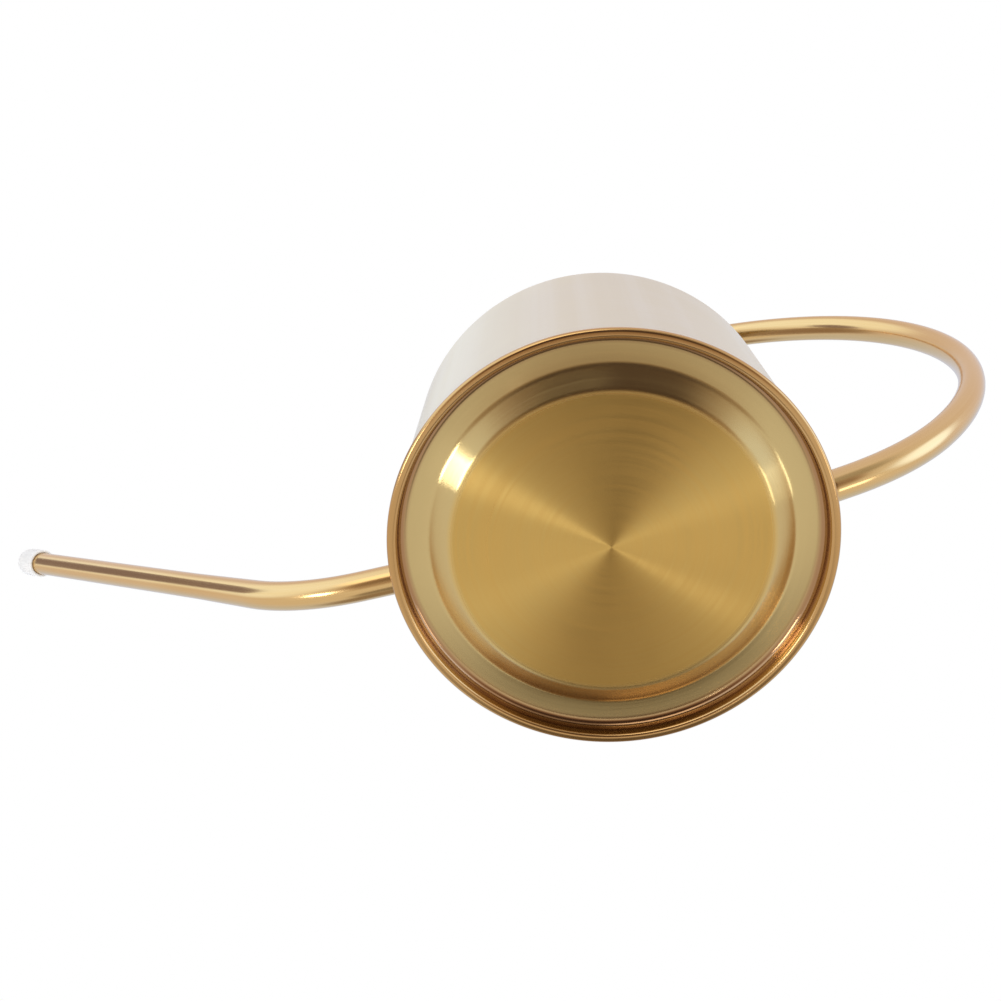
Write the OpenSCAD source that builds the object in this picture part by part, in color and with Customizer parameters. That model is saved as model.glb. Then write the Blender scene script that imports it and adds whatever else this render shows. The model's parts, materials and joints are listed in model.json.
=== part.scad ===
// Long-spout watering can: a straight-sided open can with a pressed base,
// one bent spout tube at the front and one hoop handle over the opening.
// +Z is up, the spout points to -X, and the origin is the centre of the foot
// ring on the surface that the can stands on.

/* [Can] */
// Outside diameter of the straight wall
body_d = 127.4; // [110:0.2:140]
// Height of the can, from the table to its top edge
body_h = 86.7; // [80:0.1:110]
// Thickness of the sheet metal
sheet = 0.8; // [0.6:0.1:1]
// Radius of the hem rolled inward along the top edge
hem_r = 1.1; // [1:0.1:1.5]

/* [Base] */
// How far the foot ring stands out past the wall
ring_proud = 1.3; // [0.8:0.1:2]
// Height of the foot ring
ring_h = 2.4; // [2.2:0.1:3]
// Radius of the foot ring's rounded edges
ring_round = 1.1; // [0.6:0.1:1.1]
// Height of the base disc's middle above the table
middle_z = 2.8; // [2.4:0.1:3.5]
// Height of the channel round the base disc's edge
channel_z = 6.2; // [5.5:0.1:7]
// Radius where the flat middle of the base ends
middle_r = 46.5; // [30:0.5:48]
// Width of the slope between the middle and the channel
slope_w = 8; // [5:0.5:9]
// Share of the slope's width that is rounded at each end
slope_ease = 0.2; // [0.05:0.05:0.4]
// Corner radius between the channel and the flange
corner_r = 2.2; // [1:0.1:2.5]

/* [Spout] */
// Height of the spout's root above the table
spout_z = 14.6; // [13:0.1:20]
// Outside radius of the spout at its root
spout_root_r = 4.65; // [4.4:0.05:5.5]
// Outside radius of the spout at its tip
spout_tip_r = 4.25; // [3.8:0.05:4.4]
// Thickness of the spout's tube wall
spout_wall = 0.6; // [0.5:0.1:0.9]
// Distance from the can's axis to the start of the bend
spout_bend_x = 76.7; // [74:0.1:85]
// Bend radius of the spout's centre line
spout_bend_r = 67; // [50:1:80]
// Angle that the long part of the spout rises at
spout_rise = 35.8; // [25:0.1:50]
// Length of the taper after the bend
spout_taper = 30; // [15:1:60]
// Length of the straight part, with the taper
spout_straight = 143; // [110:0.5:170]

/* [Handle] */
// Outside radius of the handle tube
handle_r = 4.75; // [4:0.05:6]
// Thickness of the handle's tube wall
handle_wall = 0.7; // [0.5:0.1:1]
// Radius of the hoop's centre line
hoop_r = 99.6; // [90:0.1:105]
// Height of the hoop's centre
hoop_z = 100.5; // [96:0.1:110]
// How far round below the level of its centre the hoop keeps its radius
hoop_under = 43; // [35:1:50]
// Radius of the tighter bend that leads back to the can
heel_r = 72.2; // [60:0.1:85]
// Where the tighter bend ends, below the level of its centre
heel_under = 74.4; // [70:0.1:80]
// Height of the lower end of the leg on the front wall
leg_z = 60; // [45:1:65]

/* [Tip cap] */
// Outside radius of the soft cap
cap_r = 5.35; // [5:0.05:6]
// Length of the cap
cap_len = 13.4; // [12:0.1:16]
// How far the spout's end reaches into the cap
cap_depth = 10.4; // [8:0.1:11]
// Gap between the spout and the cap's bore
cap_gap = 0.05; // [0.02:0.01:0.1]

/* [Hidden] */
$fn = 96;

gold = [0.76, 0.62, 0.38];
pale_gold = [0.86, 0.81, 0.72];
milky = [0.94, 0.94, 0.93, 0.7];

body_r = body_d / 2;
inner_r = body_r - sheet;
flange_r = inner_r - sheet;
ring_r = body_r + ring_proud;
tube_in = 1.6;          // how far the spout reaches inside the wall
end_cut = 5;            // overlength of every cutter
touch = 0.05;           // gap beside the line where the handle's leg meets the wall
weld_reach = 1.7;       // how far a weld climbs along its tube
weld_spread = 1.6;      // how far a weld spreads on the wall
weld_toe = 0.25;        // thickness of a weld's outer edge on its tube
seam_from = 0.8;        // the front seam's inner edge, from the middle
seam_to = 3.2;          // the front seam's outer edge, from the middle
plug_depth = 5;         // how far the end plug reaches into the tube
cap_edge = 0.4;         // chamfer on the cap's open rim
arc_steps = 10;
fine = 720;             // sides of the circles that thin fillets are cut with
lap = 1;                // how far each stretch of the hoop's tube starts inside the last
lap_step = 0.02;        // how much thinner it is than the last

// where the spout's bend ends, and the frame of its straight part
bend_end_x = spout_bend_x + spout_bend_r * sin(spout_rise);
bend_end_z = spout_z + spout_bend_r * (1 - cos(spout_rise));

// the hoop comes straight down beside the front wall
leg_x = body_r + handle_r + touch;
hoop_x = hoop_r - leg_x;
heel_x = hoop_x + (hoop_r - heel_r) * cos(hoop_under);
heel_z = hoop_z - (hoop_r - heel_r) * sin(hoop_under);
heel_end_x = heel_x + heel_r * cos(heel_under);
heel_end_z = heel_z - heel_r * sin(heel_under);
root_slope = 90 - heel_under;
root_run = (heel_end_x - body_r) / cos(root_slope);
root_z = heel_end_z - root_run * sin(root_slope);
root_r = handle_r - 2 * lap_step;

// points of an arc, from one angle to another
function arc(cx, cz, r, from, to, steps = arc_steps) =
    [for (i = [0:steps]) let (a = from + (to - from) * i / steps) [cx + r * cos(a), cz + r * sin(a)]];

// rise across the slope, from 0 to 1: straight, with a rounded start and end
function eased(t) =
    t < slope_ease ? t * t / (2 * slope_ease * (1 - slope_ease)) :
    t > 1 - slope_ease ? 1 - eased(1 - t) : (t - slope_ease / 2) / (1 - slope_ease);

// underside of the base disc: a flat middle, a slope and a channel
function base_z(r) = middle_z + (channel_z - middle_z) * eased(min(max((r - middle_r) / slope_w, 0), 1));
slope_points = [for (i = [0:arc_steps]) middle_r + slope_w * i / arc_steps];

// a full turn of a profile, drawn as [radius, height] points
module turned(points) {
    rotate_extrude() polygon(points);
}

// part of a ring of round tube in the XZ plane, from one angle to another
module tube_arc(x, z, bend_r, tube_r, from, to) {
    translate([x, 0, z]) rotate([90, 0, 0])
        rotate_extrude(angle = to - from, start = from) translate([bend_r, 0]) circle(r = tube_r);
}

// everything inside the outer face of the can's wall
module wall_filled() {
    translate([0, 0, -end_cut]) cylinder(r = body_r, h = body_h + 2 * end_cut);
}

// places children at the start of the spout's straight part, with +Z along it
module along_spout() {
    translate([-bend_end_x, 0, bend_end_z]) rotate([0, spout_rise - 90, 0]) children();
}

// round bar along the spout's centre line, with extra length at both ends
module spout_bar(root_r, tip_r, extra) {
    root_end = inner_r - tube_in - extra;
    translate([-spout_bend_x, 0, spout_z]) rotate([0, 90, 0])
        cylinder(r = root_r, h = spout_bend_x - root_end);
    tube_arc(-spout_bend_x, spout_z + spout_bend_r, spout_bend_r, root_r, 270 - spout_rise, 270);
    along_spout() {
        cylinder(r1 = root_r, r2 = tip_r, h = spout_taper);
        translate([0, 0, spout_taper]) cylinder(r = tip_r, h = spout_straight - spout_taper + extra);
    }
}

// round bar along the hoop's centre line, with extra length at both ends
module hoop_bar(bar_r, extra) {
    translate([-leg_x, 0, leg_z - extra]) cylinder(r = bar_r, h = hoop_z - leg_z + extra);
    tube_arc(hoop_x, hoop_z, hoop_r, bar_r, -hoop_under, 180);
    tube_arc(heel_x, heel_z, heel_r, bar_r - lap_step, -heel_under, lap - hoop_under);
    hoop_root(bar_r - 2 * lap_step);
}

// the hoop's last straight stretch, which runs on into the can's wall
module hoop_root(bar_r) {
    translate([heel_end_x, 0, heel_end_z]) rotate([0, -90 - root_slope, 0])
        translate([0, 0, -lap]) cylinder(r = bar_r, h = root_run + lap + end_cut);
}

// straight sheet wall with a hem rolled inward at the top
module body_wall() {
    hem_z = body_h - hem_r;
    color(pale_gold) difference() {
        turned(concat([[inner_r, ring_h], [body_r, ring_h]],
                      arc(body_r - hem_r, hem_z, hem_r, 0, 270, 2 * arc_steps),
                      [[inner_r, hem_z - hem_r]]));
        translate([-spout_bend_x, 0, spout_z]) rotate([0, 90, 0])
            cylinder(r = spout_root_r, h = spout_bend_x);
    }
}

// pressed disc that closes the can, with its flange turned down
module base_disc() {
    under = concat([[0, middle_z]], [for (r = slope_points) [r, base_z(r)]],
                   arc(flange_r - corner_r, channel_z - corner_r, corner_r, 90, 0),
                   [[flange_r, ring_h]]);
    top = concat([[inner_r, ring_h]],
                 arc(flange_r - corner_r, channel_z - corner_r, corner_r + sheet, 0, 90),
                 [for (i = [arc_steps:-1:0]) [slope_points[i], base_z(slope_points[i]) + sheet]],
                 [[0, middle_z + sheet]]);
    color(gold) turned(concat(under, top));
}

// rounded ring that the can stands on
module foot_ring() {
    color(gold) turned(concat(
        [[flange_r, ring_h]],
        arc(flange_r + ring_round, ring_round, ring_round, 180, 270),
        arc(ring_r - ring_round, ring_round, ring_round, 270, 360),
        arc(ring_r - ring_round, ring_h - ring_round, ring_round, 0, 90)));
}

// bent and tapered pouring tube
module spout_tube() {
    color(gold) difference() {
        spout_bar(spout_root_r, spout_tip_r, 0);
        spout_bar(spout_root_r - spout_wall, spout_tip_r - spout_wall, end_cut);
    }
}

// fillet of weld round the spout's root
module spout_weld() {
    $fn = fine;
    color(gold) difference() {
        translate([-body_r - weld_reach, 0, spout_z]) rotate([0, 90, 0])
            cylinder(r1 = spout_root_r + weld_toe, r2 = spout_root_r + weld_spread, h = 2 * weld_reach);
        wall_filled();
        translate([-spout_bend_x, 0, spout_z]) rotate([0, 90, 0])
            cylinder(r = spout_root_r, h = spout_bend_x);
    }
}

// hoop of round tube, cut to the wall at its lower back end
module handle_tube() {
    color(gold) difference() {
        hoop_bar(handle_r, 0);
        hoop_bar(handle_r - handle_wall, end_cut);
        wall_filled();
    }
}

// two thin seams between the hoop's leg and the front wall
module handle_front_weld() {
    $fn = fine;
    color(gold) difference() {
        for (side = [-1, 1])
            translate([-leg_x, side > 0 ? seam_from : -seam_to, leg_z])
                cube([leg_x - body_r + handle_r, seam_to - seam_from, body_h - hem_r - leg_z]);
        wall_filled();
        translate([-leg_x, 0, leg_z - end_cut]) cylinder(r = handle_r, h = body_h);
    }
}

// fillet of weld round the hoop's lower back end
module handle_back_weld() {
    $fn = fine;
    color(gold) difference() {
        translate([body_r - weld_reach, 0, root_z]) rotate([0, 90, 0])
            cylinder(r1 = handle_r + 2 * weld_spread, r2 = handle_r + 2 * weld_toe, h = 2 * weld_reach);
        wall_filled();
        hoop_root(root_r);
    }
}

// domed plug in the open end of the hoop's leg
module handle_end_plug() {
    color(gold) translate([-leg_x, 0, leg_z]) {
        cylinder(r = handle_r - handle_wall, h = plug_depth);
        difference() {
            sphere(r = handle_r);
            cylinder(r = 2 * handle_r, h = 2 * handle_r);
        }
    }
}

// soft translucent cap pushed over the spout's tip
module tip_cap() {
    dome_z = cap_len - cap_r;
    bore_r = spout_tip_r + cap_gap;
    color(milky) along_spout() translate([0, 0, spout_straight - cap_depth])
        turned(concat([[bore_r, 0], [cap_r - cap_edge, 0], [cap_r, cap_edge]],
                      arc(0, dome_z, cap_r, 0, 90, 2 * arc_steps),
                      [[0, cap_depth], [bore_r, cap_depth]]));
}

body_wall();
base_disc();
foot_ring();
spout_tube();
spout_weld();
handle_tube();
handle_front_weld();
handle_back_weld();
handle_end_plug();
tip_cap();
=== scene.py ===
"""Long-spout watering can: its looks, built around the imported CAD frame.

Metres, +Z up, spout towards -X, origin at the centre of the foot ring on the table.
"""

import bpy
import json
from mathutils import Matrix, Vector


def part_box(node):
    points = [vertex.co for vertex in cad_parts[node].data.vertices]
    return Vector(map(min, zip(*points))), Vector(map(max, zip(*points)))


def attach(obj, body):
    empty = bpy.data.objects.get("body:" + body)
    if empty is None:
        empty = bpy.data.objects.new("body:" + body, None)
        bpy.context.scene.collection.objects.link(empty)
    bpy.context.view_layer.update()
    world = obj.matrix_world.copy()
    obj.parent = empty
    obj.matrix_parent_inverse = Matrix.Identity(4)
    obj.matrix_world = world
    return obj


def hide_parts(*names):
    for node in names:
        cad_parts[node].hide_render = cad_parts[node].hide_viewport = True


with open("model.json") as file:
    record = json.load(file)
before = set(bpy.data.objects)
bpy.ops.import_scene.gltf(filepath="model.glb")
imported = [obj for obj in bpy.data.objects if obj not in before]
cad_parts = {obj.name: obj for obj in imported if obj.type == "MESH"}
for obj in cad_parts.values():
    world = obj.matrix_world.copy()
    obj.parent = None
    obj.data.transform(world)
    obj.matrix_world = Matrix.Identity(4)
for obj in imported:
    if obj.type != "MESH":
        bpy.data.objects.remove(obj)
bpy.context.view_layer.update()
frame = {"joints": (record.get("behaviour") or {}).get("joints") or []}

import json
import math

import bpy
import numpy as np
from mathutils import Matrix, Vector

MM = 0.001
DEG = math.pi / 180

# ---------------------------------------------------------------- sizes, from the frame where it states them
# wall and foot ring
SHEET = 0.8 * MM
HEM_R = 1.1 * MM
BODY_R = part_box("body_wall")[1].x
BODY_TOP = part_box("body_wall")[1].z
RING_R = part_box("foot_ring")[1].x
RING_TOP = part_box("foot_ring")[1].z
RING_ROUND = 1.1 * MM
INNER_R = BODY_R - SHEET
FLANGE_R = INNER_R - SHEET

# base: a flat middle, a slope that eases in and out over a share of its width, and a channel
MIDDLE_Z = 2.8 * MM
MIDDLE_R = 46.5 * MM
SLOPE_W = 8 * MM
SLOPE_EASE = 0.2
CHANNEL_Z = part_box("base_disc")[1].z - SHEET
CORNER_R = 2.2 * MM

# spout: level at its root, one bend, then straight to its tip
CAP_AXIS = Vector(frame["joints"][0]["axis"]).normalized()
SPOUT_RISE = math.atan2(CAP_AXIS.z, -CAP_AXIS.x)
SPOUT_ROOT_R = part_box("spout_tube")[1].y
SPOUT_ROOT_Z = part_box("spout_tube")[0].z + SPOUT_ROOT_R
SPOUT_INNER_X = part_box("spout_tube")[1].x
SPOUT_TIP_R = 4.25 * MM
SPOUT_WALL = 0.6 * MM
SPOUT_BEND_X = -76.7 * MM
SPOUT_BEND_R = 67 * MM
SPOUT_TAPER = 30 * MM
SPOUT_STRAIGHT = 143 * MM

# hoop: a straight front leg, a round top down to HOOP_UNDER below level, and a tighter heel
HOOP_TUBE_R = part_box("handle_tube")[1].y
HOOP_WALL = 0.7 * MM
HOOP_LEG_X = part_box("handle_tube")[0].x + HOOP_TUBE_R
HOOP_R = (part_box("handle_tube")[1].x - HOOP_TUBE_R - HOOP_LEG_X) / 2
HOOP_X = HOOP_LEG_X + HOOP_R
HOOP_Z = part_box("handle_tube")[1].z - HOOP_TUBE_R - HOOP_R
HOOP_UNDER = 43 * DEG
HEEL_R = 72.2 * MM
HEEL_UNDER = 74.4 * DEG
LEG_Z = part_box("handle_end_plug")[0].z + HOOP_TUBE_R
# how far a bent tube flattens and widens on each side of its centre line; of the hoop's stations, counted
# from its leg, the share where that begins, the shares that it builds up and fades over, and where it ends
BEND_THINNER = 0.6 * MM
BEND_WIDER = 0.3 * MM
BEND_BEGINS = 0.10
BEND_BUILDS = 0.15
BEND_FADES = 0.16
BEND_ENDS = 0.99

# cap: how long it is, and how far it goes over the spout
CAP_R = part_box("tip_cap")[1].y
CAP_LEN = 13.4 * MM
CAP_DEPTH = 10.4 * MM
CAP_BORE_R = 4.3 * MM
CAP_FLOOR_ROUND = 0.8 * MM

WELD_OFF = 0.3 * MM  # from a tube's outside to the middle of the bead round it


# ---------------------------------------------------------------- mesh helpers
ON_AXIS = 1e-7  # a radius below this is a single point on the axis


def spaced(start, end, count, closed=False):
    """Evenly spaced numbers from start to end, without the last one if closed."""
    return [float(v) for v in np.linspace(start, end, count, endpoint=not closed)]


def arc(cx, cz, r, start, end, steps):
    """Points of an arc in a plane, from one angle in degrees to another."""
    return [(cx + r * math.cos(a), cz + r * math.sin(a)) for a in spaced(start * DEG, end * DEG, steps + 1)]


def turned(direction, axis="Z"):
    """The rotation that points an object's axis along a direction."""
    return direction.to_track_quat(axis, "Y").to_matrix().to_4x4()


def evaluated_mesh(obj):
    """A new mesh of an object as its curve bevel or modifiers shape it."""
    return bpy.data.meshes.new_from_object(obj.evaluated_get(bpy.context.evaluated_depsgraph_get()))


def finish_mesh(name, vertices, faces, uvs, sharp):
    """A smooth closed mesh object, with hard edges only where it turns by more than sharp degrees."""
    mesh = bpy.data.meshes.new(name)
    mesh.from_pydata([tuple(v) for v in vertices], [], faces)
    layer = mesh.uv_layers.new(name="UVMap")
    layer.data.foreach_set("uv", np.array(uvs, np.float32).ravel())
    mesh.polygons.foreach_set("use_smooth", [True] * len(mesh.polygons))
    mesh.set_sharp_from_angle(angle=sharp * DEG)
    mesh.validate()
    obj = bpy.data.objects.new(name, mesh)
    bpy.context.scene.collection.objects.link(obj)
    return obj


def closed_grid(rings, along):
    """Vertices, faces and UVs of rings joined one to the next and the last to the first.

    A ring of one point is a pole, and along is the distance up to each ring.
    """
    vertices, first = [], []
    for ring in rings:
        first.append(len(vertices))
        vertices.extend(ring)
    faces, uvs = [], []
    count = max(len(ring) for ring in rings)
    for i, ring in enumerate(rings):
        j = (i + 1) % len(rings)
        one, other = len(ring) == 1, len(rings[j]) == 1
        if one and other:
            continue
        va, vb = along[i], along[i + 1]
        for k in range(count):
            n = (k + 1) % count
            ua, ub = k / count, (k + 1) / count
            corners = [(first[i] + (0 if one else k), ua, va), (first[i] + (0 if one else n), ub, va),
                       (first[j] + (0 if other else n), ub, vb), (first[j] + (0 if other else k), ua, vb)]
            if one:
                corners.pop(1)
            elif other:
                corners.pop(2)
            faces.append([c[0] for c in corners])
            uvs.extend(c[1:] for c in corners)
    return vertices, faces, uvs


def lathe(name, profile, steps=288, sharp=35, place=Matrix.Identity(4)):
    """Turns a closed outline of (radius, height) points, listed anticlockwise, into a solid."""
    rings, along = [], [0]
    for i, (r, z) in enumerate(profile):
        turns = [0] if r < ON_AXIS else [2 * math.pi * k / steps for k in range(steps)]
        rings.append([place @ Vector((r * math.cos(a), r * math.sin(a), z)) for a in turns])
        r2, z2 = profile[(i + 1) % len(profile)]
        along.append(along[-1] + math.hypot(r2 - r, z2 - z))
    return finish_mesh(name, *closed_grid(rings, along), sharp=sharp)


def tube(name, stations, steps=64, sharp=50, shape_ring=None, oval=None):
    """A tube solid from (centre, tangent, radius) stations in the XZ plane.

    The stations go out along the tube's outside and back along its bore.
    """
    across = Vector((0, 1, 0))
    rings, along = [], [0]
    turns = [2 * math.pi * k / steps for k in range(steps)]
    for i, (centre, tangent, r) in enumerate(stations):
        side = Vector((-tangent.z, 0, tangent.x))
        thick, wide = oval(i) if oval else (0, 0)
        ring = [centre + (r - thick) * math.cos(a) * side - (r + wide) * math.sin(a) * across
                for a in turns]
        rings.append(shape_ring(i, ring) if shape_ring else ring)
        following = stations[(i + 1) % len(stations)]
        along.append(along[-1] + math.hypot((following[0] - centre).length, following[2] - r))
    return finish_mesh(name, *closed_grid(rings, along), sharp=sharp)


def bead(name, points, radius, ripple, pitch, closed):
    """A weld bead along points, rippled once every pitch."""
    curve = bpy.data.curves.new(name, "CURVE")
    curve.dimensions = "3D"
    curve.bevel_depth = radius
    curve.bevel_resolution = 5
    curve.use_fill_caps = True
    spline = curve.splines.new("POLY")
    spline.points.add(len(points) - 1)
    spline.use_cyclic_u = closed
    walked = 0
    for i, point in enumerate(points):
        walked += (Vector(point) - Vector(points[i - 1])).length if i else 0
        spline.points[i].co = (*point, 1)
        spline.points[i].radius = 1 + ripple * math.cos(2 * math.pi * walked / pitch)
    drawn = bpy.data.objects.new(name + "_line", curve)
    bpy.context.scene.collection.objects.link(drawn)
    mesh = evaluated_mesh(drawn)
    bpy.data.objects.remove(drawn)
    mesh.polygons.foreach_set("use_smooth", [True] * len(mesh.polygons))
    obj = bpy.data.objects.new(name, mesh)
    bpy.context.scene.collection.objects.link(obj)
    return obj


def drill(obj, start, end, radius):
    """Cuts a round hole through obj, from start to end."""
    line = Vector(end) - Vector(start)
    middle = (Vector(start) + Vector(end)) / 2
    bpy.ops.mesh.primitive_cylinder_add(vertices=96, radius=radius, depth=line.length)
    cutter = bpy.context.object
    cutter.matrix_world = Matrix.Translation(middle) @ turned(line)
    bpy.context.view_layer.update()
    cut = obj.modifiers.new("hole", "BOOLEAN")
    cut.operation, cut.solver, cut.object = "DIFFERENCE", "EXACT", cutter
    mesh = evaluated_mesh(obj)
    obj.modifiers.clear()
    obj.data = mesh
    bpy.data.objects.remove(cutter)
    return obj


# ---------------------------------------------------------------- centre lines of the two tubes
def spout_line():
    """(centre, tangent, outside radius) along the spout, from its end inside the can to its tip."""
    level = Vector((-1, 0, 0))
    line = [(Vector((x, 0, SPOUT_ROOT_Z)), level, SPOUT_ROOT_R)
            for x in spaced(SPOUT_INNER_X, SPOUT_BEND_X, count=6, closed=True)]
    for a in spaced(0, SPOUT_RISE, count=33):
        x = SPOUT_BEND_X - SPOUT_BEND_R * math.sin(a)
        z = SPOUT_ROOT_Z + SPOUT_BEND_R * (1 - math.cos(a))
        line.append((Vector((x, 0, z)), Vector((-math.cos(a), 0, math.sin(a))), SPOUT_ROOT_R))
    bend_end = line[-1][0]
    tapered = spaced(0, SPOUT_TAPER, count=9)[1:]
    even = spaced(SPOUT_TAPER, SPOUT_STRAIGHT, count=13)[1:]
    for s in tapered + even:
        r = SPOUT_ROOT_R + (SPOUT_TIP_R - SPOUT_ROOT_R) * min(s / SPOUT_TAPER, 1)
        line.append((bend_end + CAP_AXIS * s, CAP_AXIS, r))
    return line


def hoop_line():
    """(centre, tangent, outside radius) along the hoop, from the bottom of its front leg to the back wall."""
    line = [(Vector((HOOP_LEG_X, 0, z)), Vector((0, 0, 1)), HOOP_TUBE_R)
            for z in spaced(LEG_Z, HOOP_Z, count=8, closed=True)]
    for a in spaced(math.pi, -HOOP_UNDER, count=140):
        centre = Vector((HOOP_X + HOOP_R * math.cos(a), 0, HOOP_Z + HOOP_R * math.sin(a)))
        line.append((centre, Vector((math.sin(a), 0, -math.cos(a))), HOOP_TUBE_R))
    heel_x = HOOP_X + (HOOP_R - HEEL_R) * math.cos(HOOP_UNDER)
    heel_z = HOOP_Z - (HOOP_R - HEEL_R) * math.sin(HOOP_UNDER)
    heel = Vector((heel_x, 0, heel_z))
    for a in spaced(-HOOP_UNDER, -HEEL_UNDER, count=25)[1:]:
        centre = heel + HEEL_R * Vector((math.cos(a), 0, math.sin(a)))
        line.append((centre, Vector((math.sin(a), 0, -math.cos(a))), HOOP_TUBE_R))
    centre, tangent, r = line[-1]
    to_wall = (centre.x - BODY_R) / -tangent.x
    line += [(centre + tangent * s, tangent, r) for s in spaced(0, to_wall, count=5)[1:]]
    return line


def walled(line, wall, lips):
    """Stations of a hollow tube: its outside, then its bore the other way.

    Lips names the ends that are rounded.
    """
    half = wall / 2
    bore = [(c, t, r - wall) for c, t, r in reversed(line)]
    stations = list(line)
    if "end" in lips:
        centre, tangent, r = stations.pop()
        bore.pop(0)
        stations += [(centre + tangent * half * (math.cos(a) - 1), tangent, r - half + half * math.sin(a))
                     for a in spaced(math.pi / 2, -math.pi / 2, count=9)]
    if "start" in lips:
        centre, tangent, r = stations.pop(0)
        bore.pop()
        bore += [(centre - tangent * half * (math.cos(a) - 1), tangent, r - half - half * math.sin(a))
                 for a in spaced(math.pi / 2, -math.pi / 2, count=9)]
    return stations + bore


# ---------------------------------------------------------------- pieces
def make_body_wall():
    """The wall: a straight sheet with a rolled hem at its top and a hole for the spout."""
    hem_z = BODY_TOP - HEM_R
    low = [(INNER_R, RING_TOP), (BODY_R, RING_TOP)]
    up = [(BODY_R, z) for z in spaced(RING_TOP, hem_z, count=26)[1:-1]]
    down = [(INNER_R, z) for z in spaced(hem_z - HEM_R, RING_TOP, count=26)[:-1]]
    hem = arc(BODY_R - HEM_R, hem_z, HEM_R, 0, 270, steps=18)
    wall = lathe("body_wall_skin", low + up + hem + down)
    outside = (-BODY_R - HEM_R, 0, SPOUT_ROOT_Z)
    inside = (-BODY_R + 3 * HEM_R, 0, SPOUT_ROOT_Z)
    return drill(wall, outside, inside, SPOUT_ROOT_R - SPOUT_WALL / 2)


def base_z(r):
    """Underside of the base: a flat middle, a soft slope and a channel."""
    t = min(max((r - MIDDLE_R) / SLOPE_W, 0), 1)
    ease = SLOPE_EASE
    if t < ease:
        share = t * t / (2 * ease * (1 - ease))
    elif t > 1 - ease:
        share = 1 - (1 - t) ** 2 / (2 * ease * (1 - ease))
    else:
        share = (t - ease / 2) / (1 - ease)
    return MIDDLE_Z + (CHANNEL_Z - MIDDLE_Z) * share


def make_base_disc():
    """The base: a pressed disc with a flange turned down inside the wall."""
    middle_steps, slope_steps = 12, 24
    radii = [MIDDLE_R * i / middle_steps for i in range(middle_steps)]
    radii += [MIDDLE_R + SLOPE_W * i / slope_steps for i in range(slope_steps + 1)]
    corner_x, corner_z = FLANGE_R - CORNER_R, CHANNEL_Z - CORNER_R
    under = [(r, base_z(r)) for r in radii]
    under += arc(corner_x, corner_z, CORNER_R, 90, 0, steps=10) + [(FLANGE_R, RING_TOP)]
    top = [(INNER_R, RING_TOP)] + arc(corner_x, corner_z, CORNER_R + SHEET, 0, 90, steps=10)
    top += [(r, base_z(r) + SHEET) for r in reversed(radii)]
    return lathe("base_disc_skin", under + top, sharp=60)


def make_foot_ring():
    """The bright ring that the can stands on, rounded inside and out."""
    inside, outside = FLANGE_R + RING_ROUND, RING_R - RING_ROUND
    profile = [(FLANGE_R, RING_TOP)] + arc(inside, RING_ROUND, RING_ROUND, 180, 270, steps=12)
    profile += arc(outside, RING_ROUND, RING_ROUND, 270, 360, steps=12)
    profile += arc(outside, RING_TOP - RING_ROUND, RING_ROUND, 0, 90, steps=12)
    return lathe("foot_ring_bead", profile, steps=384)


def make_spout():
    """The long spout, open from the inside of the can to its tip."""
    return tube("spout_pipe", walled(spout_line(), SPOUT_WALL, ("start", "end")))


def make_hoop():
    """The handle: one hollow tube, coped to the wall at its back end."""
    line = hoop_line()
    coped = (len(line) - 1, len(line))

    def cope(i, ring):
        """Runs the hoop's lower end into the wall's curved face."""
        if i not in coped:
            return ring
        tangent = line[-1][1]
        target = BODY_R - SHEET / 2
        out = []
        for p in ring:
            s = (p.x - math.sqrt(target ** 2 - p.y ** 2)) / -tangent.x
            out.append(p + tangent * s)
        return out

    def flattened(i):
        """How much the bent part's radius has lost and gained, from nothing at the leg and the root."""
        share = min(i, 2 * len(line) - 1 - i) / (len(line) - 1)
        built = min(max((share - BEND_BEGINS) / BEND_BUILDS, 0), 1)
        unfaded = min(max((BEND_ENDS - share) / BEND_FADES, 0), 1)
        bent = built * unfaded
        return BEND_THINNER * bent, BEND_WIDER * bent

    stations = walled(line, HOOP_WALL, ("start",))
    return tube("handle_pipe", stations, steps=72, shape_ring=cope, oval=flattened)


def make_end_plug():
    """The domed plug in the lower end of the hoop's front leg."""
    bore = HOOP_TUBE_R - HOOP_WALL
    groove = 0.15 * MM
    depth = 5 * MM
    ball = arc(0, -groove, HOOP_TUBE_R, -90, 0, steps=20)
    dome = [(r, z) for r, z in ball if z >= -HOOP_TUBE_R]
    dome[0] = (0, -HOOP_TUBE_R)
    profile = dome + [(HOOP_TUBE_R - groove, 0), (bore, 0), (bore, depth), (0, depth)]
    return lathe("handle_plug", profile, steps=72, place=Matrix.Translation((HOOP_LEG_X, 0, LEG_Z)))


def on_wall(y, z, side):
    """The point of the can's outer face at that width and height, at the front (-1) or the back (+1)."""
    return side * math.sqrt(BODY_R ** 2 - y ** 2), y, z


def make_spout_weld():
    """The bead round the spout where it goes through the wall."""
    ring = SPOUT_ROOT_R + WELD_OFF
    points = [on_wall(ring * math.cos(a), SPOUT_ROOT_Z + ring * math.sin(a), -1)
              for a in spaced(0, 2 * math.pi, count=180, closed=True)]
    return bead("spout_weld_bead", points, radius=0.95 * MM, ripple=0.07, pitch=1.05 * MM, closed=True)


def make_back_weld():
    """The bead round the hoop's back end, taller than wide because the tube meets the wall at a slant."""
    centre, tangent, r = hoop_line()[-1]
    ring = r + WELD_OFF
    tall = ring / -tangent.x
    points = [on_wall(ring * math.cos(a), centre.z + tall * math.sin(a), 1)
              for a in spaced(0, 2 * math.pi, count=180, closed=True)]
    return bead("handle_back_weld_bead", points, radius=1.0 * MM, ripple=0.07, pitch=1.1 * MM, closed=True)


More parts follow.
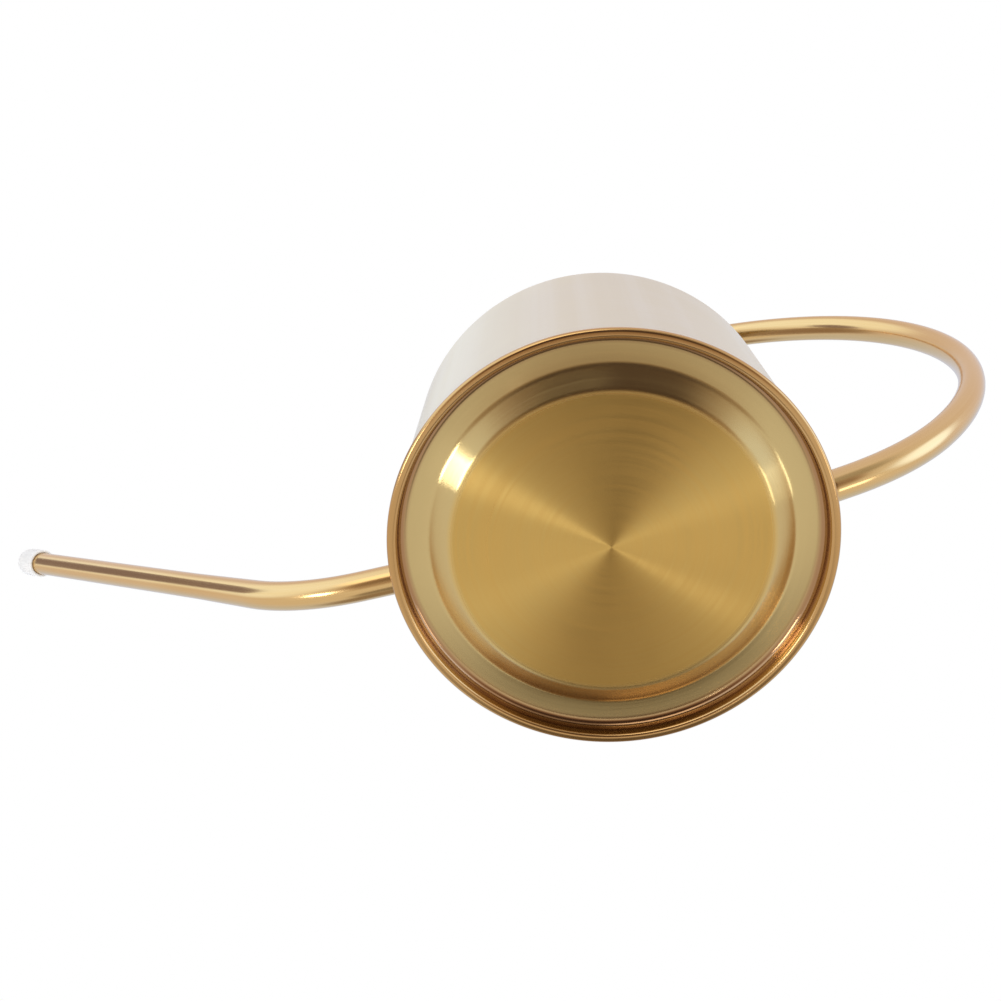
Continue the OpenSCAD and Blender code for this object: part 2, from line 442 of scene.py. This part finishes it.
def make_front_weld():
    """The two straight seams between the wall and the hoop's front leg."""
    off = 2.3 * MM
    low = LEG_Z + 2.2 * MM
    top = BODY_TOP - HEM_R - 1.2 * MM
    x = (on_wall(off, 0, -1)[0] + HOOP_LEG_X + math.sqrt(HOOP_TUBE_R ** 2 - off ** 2)) / 2
    seams = []
    for name, side in (("left", -1), ("right", 1)):
        points = [(x, side * off, z) for z in spaced(low, top, count=130)]
        seams.append(bead(f"handle_front_weld_{name}", points,
                          radius=0.62 * MM, ripple=0.08, pitch=1.0 * MM, closed=False))
    return seams


def make_tip_cap():
    """The soft cap: a round-ended sleeve over the spout's tip."""
    rim = (CAP_R - CAP_BORE_R) / 2
    dome_z = CAP_LEN - CAP_R
    start = spout_line()[-1][0] - CAP_AXIS * CAP_DEPTH
    place = Matrix.Translation(start) @ turned(CAP_AXIS)
    dome = arc(0, dome_z, CAP_R, 0, 90, steps=24)
    dome[-1] = (0, CAP_LEN)
    profile = arc(CAP_BORE_R + rim, rim, rim, 180, 360, steps=12) + dome + [(0, CAP_DEPTH)]
    profile += arc(CAP_BORE_R - CAP_FLOOR_ROUND, CAP_DEPTH - CAP_FLOOR_ROUND, CAP_FLOOR_ROUND, 90, 0, steps=6)
    return lathe("tip_cap_soft", profile, steps=96, sharp=60, place=place)


# ---------------------------------------------------------------- materials
# pale coated wall; its paler streak colour is painted reflection
WALL_COLOUR = (0.815, 0.765, 0.60, 1)
WALL_DEEP = (0.785, 0.735, 0.57, 1)
WALL_REFLECTION_STREAK = (0.84, 0.81, 0.68, 1)
# gold base: its brushed middle, the haze of its slope and channel, and the flange's copper tone, darkened
# with painted shade of the recess corner
BASE_COLOUR = (0.72, 0.485, 0.15, 1)
BASE_DEEP = (0.69, 0.43, 0.12, 1)
BASE_HAZE = (0.64, 0.53, 0.28, 1)
FLANGE_COPPER_AND_SHADE = (0.42, 0.24, 0.12, 1)
HAZE_SHARE = 0.7
SLOPE_GLOSS = 0.45  # what the brushed roughness is multiplied by there
FLANGE_GLOSS = 0.6
# ring, tubes and welds
RING_COLOUR = (0.64, 0.40, 0.17, 1)
RING_DEEP = (0.56, 0.33, 0.13, 1)
TUBE_COLOUR = (0.76, 0.53, 0.25, 1)
TUBE_DEEP = (0.71, 0.46, 0.19, 1)
WELD_COLOUR = (0.70, 0.47, 0.21, 1)
WELD_DEEP = (0.60, 0.38, 0.16, 1)
# milky cap
CAP_DIM = (0.78, 0.785, 0.79, 1)
CAP_PALE = (0.86, 0.85, 0.845, 1)

GROOVE_DEPTH = 0.02 * MM
# brush lines: how fast they change across the lines and along them
TUBE_ACROSS = 9.0
TUBE_ALONG = 14.0
SHEET_ACROSS = 900.0
SHEET_ALONG = 14.0
# the colour sockets of a Mix node
MIX_A, MIX_B, MIX_RESULT = 6, 7, 2


class Graph:
    """Short calls for building a node tree."""

    def __init__(self, tree, fresh=True):
        self.tree = tree
        if fresh:
            tree.nodes.clear()

    def add(self, kind, inputs=(), **settings):
        node = self.tree.nodes.new("ShaderNode" + kind)
        for key, value in settings.items():
            setattr(node, key, value)
        for key, value in dict(inputs).items():
            if isinstance(value, bpy.types.NodeSocket):
                self.tree.links.new(value, node.inputs[key])
            else:
                node.inputs[key].default_value = value
        return node

    def math(self, operation, a, b=0.0):
        return self.add("Math", {0: a, 1: b}, operation=operation).outputs[0]

    def ramp(self, value, low, high, to_low, to_high):
        """Moves a value from one range to another, clamped and smoothed."""
        ends = {"Value": value, "From Min": low, "From Max": high, "To Min": to_low, "To Max": to_high}
        return self.add("MapRange", ends, interpolation_type="SMOOTHSTEP").outputs[0]

    def noise(self, vector, scale, detail, roughness):
        settings = {"Vector": vector, "Scale": scale, "Detail": detail, "Roughness": roughness}
        return self.add("TexNoise", settings).outputs[0]

    def mix_colour(self, factor, a, b):
        inputs = {"Factor": factor, MIX_A: a, MIX_B: b}
        return self.add("Mix", inputs, data_type="RGBA").outputs[MIX_RESULT]

    def from_axis(self, x, y):
        """The distance from the Z axis."""
        squares = self.math("ADD", self.math("MULTIPLY", x, x), self.math("MULTIPLY", y, y))
        return self.math("SQRT", squares)


def brush_coordinates(g, brush):
    """Coordinates for brush lines that run along a tube, round the wall or round the base.

    The brush is "length", "hoop" or "spun" in turn.
    """
    if brush == "length":
        u, v, _ = g.add("SeparateXYZ", {0: g.add("TexCoord").outputs["UV"]}).outputs
        turn = g.math("MULTIPLY", u, 2 * math.pi)
        return g.add("CombineXYZ", {0: g.math("MULTIPLY", g.math("COSINE", turn), TUBE_ACROSS),
                                    1: g.math("MULTIPLY", g.math("SINE", turn), TUBE_ACROSS),
                                    2: g.math("MULTIPLY", v, TUBE_ALONG)}).outputs[0]
    x, y, z = g.add("SeparateXYZ", {0: g.add("TexCoord").outputs["Object"]}).outputs
    if brush == "spun":
        z = g.from_axis(x, y)
    return g.add("CombineXYZ", {0: g.math("MULTIPLY", x, SHEET_ALONG),
                                1: g.math("MULTIPLY", y, SHEET_ALONG),
                                2: g.math("MULTIPLY", z, SHEET_ACROSS)}).outputs[0]


def metal(name, colour, deep, brush, roughness, spread, groove, anisotropic=0.0):
    """Coated steel with brush lines, faint smudges and a little colour drift.

    Spread is how far the roughness varies, and groove how strongly the brush lines dent the face.
    """
    material = bpy.data.materials.new(name)
    material.use_nodes = True
    g = Graph(material.node_tree)
    lines = g.noise(brush_coordinates(g, brush), scale=1.0, detail=4.0, roughness=0.65)
    place = g.add("TexCoord").outputs["Object"]
    smudge = g.noise(place, scale=38.0, detail=3.0, roughness=0.5)
    drift = g.noise(place, scale=11.0, detail=2.0, roughness=0.5)
    tint = g.math("ADD", g.math("MULTIPLY", lines, 0.45), g.math("MULTIPLY", drift, 0.55))
    base = g.mix_colour(g.ramp(tint, 0.3, 0.7, 0.0, 1.0), deep, colour)
    rough = g.math("ADD", g.ramp(lines, 0.25, 0.75, roughness - spread, roughness + spread),
                   g.ramp(smudge, 0.4, 0.75, 0.0, spread))
    shader = g.add("BsdfPrincipled", {"Base Color": base, "Metallic": 1.0, "Roughness": rough,
                                      "Anisotropic": anisotropic, "Anisotropic Rotation": 0.25})
    if anisotropic:
        tangent = g.add("Tangent", direction_type="UV_MAP", uv_map="UVMap")
        g.tree.links.new(tangent.outputs[0], shader.inputs["Tangent"])
    bump = g.add("Bump", {"Strength": groove, "Distance": GROOVE_DEPTH, "Height": lines})
    g.tree.links.new(bump.outputs[0], shader.inputs["Normal"])
    out = g.add("OutputMaterial")
    g.tree.links.new(shader.outputs[0], out.inputs["Surface"])
    return material


def base_metal_material():
    """Spun brushed middle, a hazier outer channel, and the flange's deeper copper tone, partly painted shade
    in the recess corner.
    """
    material = metal("base_metal", BASE_COLOUR, BASE_DEEP, "spun",
                     roughness=0.32, spread=0.05, groove=0.22, anisotropic=1.0)
    g = Graph(material.node_tree, fresh=False)
    shader = g.tree.nodes["Principled BSDF"]
    x, y, _ = g.add("SeparateXYZ", {0: g.add("TexCoord").outputs["Object"]}).outputs
    r = g.from_axis(x, y)
    brushed = shader.inputs["Base Color"].links[0].from_socket
    haze = g.ramp(r, MIDDLE_R - MM, MIDDLE_R + 2 * MM, 0.0, HAZE_SHARE)
    # darker copper on the flange and its corner: partly the metal's own tone, partly painted shade in the
    # recess corner
    copper_and_shade = g.ramp(r, FLANGE_R - 3 * MM, FLANGE_R - MM, 0.0, 1.0)
    toned = g.mix_colour(copper_and_shade, g.mix_colour(haze, brushed, BASE_HAZE), FLANGE_COPPER_AND_SHADE)
    g.tree.links.new(toned, shader.inputs["Base Color"])
    rough = shader.inputs["Roughness"].links[0].from_socket
    on_slope = g.ramp(r, MIDDLE_R - MM, MIDDLE_R + MM, 1.0, SLOPE_GLOSS)
    on_flange = g.ramp(r, FLANGE_R - 3 * MM, FLANGE_R - MM, 1.0, FLANGE_GLOSS)
    smoother = g.math("MULTIPLY", on_slope, on_flange)
    g.tree.links.new(g.math("MULTIPLY", rough, smoother), shader.inputs["Roughness"])
    return material


def wall_metal_material():
    """Pale brushed wall with broad soft streaks that run up it, painted into its colour as streaky
    reflection.
    """
    material = metal("wall_metal", WALL_COLOUR, WALL_DEEP, "hoop",
                     roughness=0.34, spread=0.04, groove=0.10, anisotropic=0.7)
    g = Graph(material.node_tree, fresh=False)
    shader = g.tree.nodes["Principled BSDF"]
    x, y, _ = g.add("SeparateXYZ", {0: g.add("TexCoord").outputs["Object"]}).outputs
    around = g.add("CombineXYZ", {0: x, 1: y}).outputs[0]
    # paler streaks that run up the wall: painted reflection, standing in for the streaky sheen of the brushed
    # metal
    reflection_streak = g.noise(around, scale=95.0, detail=3.0, roughness=0.6)
    brushed = shader.inputs["Base Color"].links[0].from_socket
    reflection_streaked = g.mix_colour(g.ramp(reflection_streak, 0.40, 0.66, 0.0, 0.5), brushed, WALL_REFLECTION_STREAK)
    g.tree.links.new(reflection_streaked, shader.inputs["Base Color"])
    return material


def soft_cap_material():
    """Milky silicone: pale, slightly cloudy, soft where light goes in, with an uneven gloss and a faint
    painted glow for light that shines through it.
    """
    material = bpy.data.materials.new("soft_cap")
    material.use_nodes = True
    g = Graph(material.node_tree)
    place = g.add("TexCoord").outputs["Object"]
    cloud = g.noise(place, scale=260.0, detail=3.0, roughness=0.5)
    grain = g.noise(place, scale=900.0, detail=2.0, roughness=0.5)
    base = g.mix_colour(g.ramp(cloud, 0.35, 0.7, 0.0, 1.0), CAP_DIM, CAP_PALE)
    rough = g.ramp(grain, 0.3, 0.7, 0.38, 0.52)
    # the faint white emission is painted light: a glow standing in for light that shines through the milky
    # cap
    shader = g.add("BsdfPrincipled", {"Base Color": base, "Roughness": rough, "IOR": 1.41,
                                      "Subsurface Weight": 0.6, "Subsurface Scale": 2 * MM,
                                      "Subsurface Radius": (1.0, 1.0, 1.0),
                                      "Emission Color": (1, 1, 1, 1), "Emission Strength": 0.03})
    out = g.add("OutputMaterial")
    g.tree.links.new(shader.outputs[0], out.inputs["Surface"])
    return material


def dress(obj, body, node, material):
    """Gives a piece its material, ties it to the body, and hides the CAD node that it stands for."""
    obj.data.materials.clear()
    obj.data.materials.append(material)
    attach(obj, body)
    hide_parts(node)


WALL_METAL = wall_metal_material()
BASE_METAL = base_metal_material()
RING_METAL = metal("ring_metal", RING_COLOUR, RING_DEEP, "hoop", roughness=0.15, spread=0.03, groove=0.05)
TUBE_METAL = metal("tube_metal", TUBE_COLOUR, TUBE_DEEP, "length", roughness=0.17, spread=0.03, groove=0.04)
WELD_METAL = metal("weld_metal", WELD_COLOUR, WELD_DEEP, "hoop", roughness=0.28, spread=0.06, groove=0.2)
SOFT_CAP = soft_cap_material()

dress(make_body_wall(), "can", "body_wall", WALL_METAL)
dress(make_base_disc(), "can", "base_disc", BASE_METAL)
dress(make_foot_ring(), "can", "foot_ring", RING_METAL)
dress(make_spout(), "can", "spout_tube", TUBE_METAL)
dress(make_spout_weld(), "can", "spout_weld", WELD_METAL)
dress(make_hoop(), "can", "handle_tube", TUBE_METAL)
dress(make_back_weld(), "can", "handle_back_weld", WELD_METAL)
dress(make_end_plug(), "can", "handle_end_plug", TUBE_METAL)
for seam in make_front_weld():
    dress(seam, "can", "handle_front_weld", WELD_METAL)
dress(make_tip_cap(), "cap", "tip_cap", SOFT_CAP)


# ---------------------------------------------------------------- camera
CAMERA_AT = Vector((10.7, -136.3, -295.8)) * MM
CAMERA_AIM = Vector((-27.2, -22.9, 0)) * MM
CAMERA_ROLL = 4.3 * DEG
CAMERA_LENS = 40.64  # both in millimetres, as Blender's camera takes them
CAMERA_SENSOR = 36
VIEW_FROM, VIEW_TO = 0.005, 50  # metres


def make_camera():
    """The camera, low in front of the can and looking up at its base."""
    data = bpy.data.cameras.new("camera")
    data.lens, data.sensor_width = CAMERA_LENS, CAMERA_SENSOR
    data.clip_start, data.clip_end = VIEW_FROM, VIEW_TO
    camera = bpy.data.objects.new("camera", data)
    bpy.context.scene.collection.objects.link(camera)
    turn = turned(CAMERA_AIM - CAMERA_AT, "-Z")
    camera.matrix_world = Matrix.Translation(CAMERA_AT) @ turn @ Matrix.Rotation(CAMERA_ROLL, 4, "Z")
    bpy.context.scene.camera = camera


# ---------------------------------------------------------------- floor and light
FLOOR_R = 6
FLOOR_DROP = 0.1 * MM  # below the rest face, so that the two never share a plane
FLOOR_COLOUR = (0.86, 0.86, 0.85, 1)


def make_floor():
    """A pale floor seen from above only: from below it lets the view through to the can's base."""
    material = bpy.data.materials.new("pale_floor")
    material.use_nodes = True
    g = Graph(material.node_tree)
    pale = g.add("BsdfDiffuse", {"Color": FLOOR_COLOUR})
    clear = g.add("BsdfTransparent")
    below = g.add("NewGeometry").outputs["Backfacing"]
    sides = g.add("MixShader", {0: below, 1: pale.outputs[0], 2: clear.outputs[0]})
    out = g.add("OutputMaterial")
    g.tree.links.new(sides.outputs[0], out.inputs["Surface"])
    at = (0, 0, -FLOOR_DROP)
    bpy.ops.mesh.primitive_circle_add(vertices=96, radius=FLOOR_R, fill_type="NGON", location=at)
    floor = bpy.context.object
    floor.name = "floor"
    floor.data.materials.append(material)
    floor.visible_diffuse = floor.visible_glossy = floor.visible_transmission = False
    floor.visible_shadow = floor.visible_volume_scatter = False


# soft regions of the room that only reflections see: the way towards each, the half angles in degrees
# where it starts and where it is full, and its radiance; a later one covers an earlier one
ROOM_PATCHES = (
    ((-0.10, 0.85, 0.50), 75, 35, (0.72, 0.82, 1.05)),
    ((-0.10, 0.96, -0.22), 30, 14, (0.34, 0.28, 0.23)),
    ((-0.06, 0.66, -0.75), 20, 7, (0.16, 0.13, 0.10)),
    ((-0.70, -0.70, 0.09), 48, 24, (1.22, 1.40, 1.65)),
    ((0.98, 0.00, -0.12), 26, 12, (1.45, 1.80, 2.50)),
    ((0.52, -0.74, -0.42), 26, 10, (0.46, 0.43, 0.38)),
    ((-0.05, -0.90, -0.42), 24, 8, (1.9, 1.85, 1.7)),
)
# dark shapes near the can that only reflections see: place, half sizes, the way each faces, the way its
# first half size runs, and its radiance at its middle and towards its rim
DARK_CARDS = (
    ((0.090, -0.240, -0.300), (0.40, 0.33), (0, 0, 1), (1, 0, 0),
     (0.09, 0.06, 0.05), (0.45, 0.33, 0.24)),
    ((-0.426, -0.150, 0.130), (0.120, 0.138), (0.79, 0.51, -0.34), (-0.60, 0.45, -0.66),
     (0.29, 0.25, 0.32), (0.34, 0.30, 0.36)),
    ((0.000, 0.022, 0.145), (0.045, 0.040), (1, 0, 0), (0, 1, 0),
     (0.34, 0.26, 0.22), (0.42, 0.36, 0.32)),
)
# of a card's half size: where its rim tone starts and is full, and where it starts to fade out
CARD_RIM_FROM = 0.4
CARD_RIM_FULL = 0.85
CARD_FADES = 0.75
# the room itself: what reflections see low down and high up, and the plain light on everything
ROOM_LOW = (0.84, 0.81, 0.78)
ROOM_HIGH = (0.84, 0.79, 0.88)
ROOM_PLAIN = (1.0, 0.99, 0.98)
ROOM_BLENDS = 0.7  # the sine of the angle below and above level at which the low and the high tone are full


def make_world():
    """The room: a patchwork in reflections, plain light for all else, and white behind the can."""
    world = bpy.data.worlds.new("room")
    bpy.context.scene.world = world
    world.use_nodes = True
    g = Graph(world.node_tree)
    way = g.add("TexCoord").outputs["Generated"]
    _, _, z = g.add("SeparateXYZ", {0: way}).outputs
    room = g.mix_colour(g.ramp(z, -ROOM_BLENDS, ROOM_BLENDS, 0.0, 1.0), (*ROOM_LOW, 1), (*ROOM_HIGH, 1))
    for towards, edge, core, radiance in ROOM_PATCHES:
        middle = tuple(Vector(towards).normalized())
        facing = g.add("VectorMath", {0: way, 1: middle}, operation="DOT_PRODUCT")
        share = g.ramp(facing.outputs["Value"], math.cos(edge * DEG), math.cos(core * DEG), 0.0, 1.0)
        room = g.mix_colour(share, room, (*radiance, 1))
    path = g.add("LightPath").outputs
    lit = g.mix_colour(path["Is Glossy Ray"], (*ROOM_PLAIN, 1), room)
    light = g.add("Background", {"Color": lit, "Strength": 1.0})
    backdrop = g.add("Background", {"Color": (1, 1, 1, 1), "Strength": 1.0})
    mix = g.add("MixShader", {0: path["Is Camera Ray"], 1: light.outputs[0], 2: backdrop.outputs[0]})
    out = g.add("OutputWorld")
    g.tree.links.new(mix.outputs[0], out.inputs["Surface"])


def make_dark_card(at, half, facing, along, core, rim):
    """A dark shape with a soft edge that only reflections see.

    It is near enough that each tube mirrors it from its own angle.
    """
    material = bpy.data.materials.new("dark_card")
    material.use_nodes = True
    g = Graph(material.node_tree)
    out = g.add("VectorMath", {0: g.add("TexCoord").outputs["Object"]}, operation="LENGTH").outputs["Value"]
    tone = g.mix_colour(g.ramp(out, CARD_RIM_FROM, CARD_RIM_FULL, 0.0, 1.0), (*core, 1), (*rim, 1))
    dark = g.add("Emission", {"Color": tone, "Strength": 1.0})
    clear = g.add("BsdfTransparent")
    solid = g.ramp(out, CARD_FADES, 1.0, 1.0, 0.0)
    card = g.add("MixShader", {0: solid, 1: clear.outputs[0], 2: dark.outputs[0]})
    g.tree.links.new(card.outputs[0], g.add("OutputMaterial").inputs["Surface"])
    bpy.ops.mesh.primitive_circle_add(vertices=64, radius=1, fill_type="NGON")
    shape = bpy.context.object
    shape.name = "dark_card"
    outward = Vector(facing).normalized()
    across = outward.cross(Vector(along)).normalized()
    turn = Matrix((across.cross(outward), across, outward)).transposed().to_4x4()
    shape.matrix_world = Matrix.Translation(at) @ turn @ Matrix.Diagonal((*half, 1, 1))
    shape.data.materials.append(material)
    shape.visible_camera = shape.visible_diffuse = shape.visible_transmission = shape.visible_shadow = False


def soft_light(name, way, distance, size, power):
    """A square soft light out along a direction from the can's base, facing it."""
    data = bpy.data.lights.new(name, "AREA")
    data.shape, data.size, data.energy = "SQUARE", size, power
    lamp = bpy.data.objects.new(name, data)
    at = Vector(way).normalized() * distance
    lamp.matrix_world = Matrix.Translation(at) @ turned(at)
    bpy.context.scene.collection.objects.link(lamp)
    lamp.visible_camera = False


make_camera()
make_floor()
make_world()
for dark_card in DARK_CARDS:
    make_dark_card(*dark_card)
soft_light("low_left", (-0.72, -0.22, -0.66), distance=0.50, size=0.10, power=0.24)
soft_light("low_right", (0.75, 0.25, -0.61), distance=0.50, size=0.10, power=0.06)
soft_light("low_small", (-0.13, 0.10, -0.987), distance=0.75, size=0.02, power=0.01)

bpy.context.scene.view_settings.view_transform = "Standard"
bpy.context.scene.view_settings.look = "None"
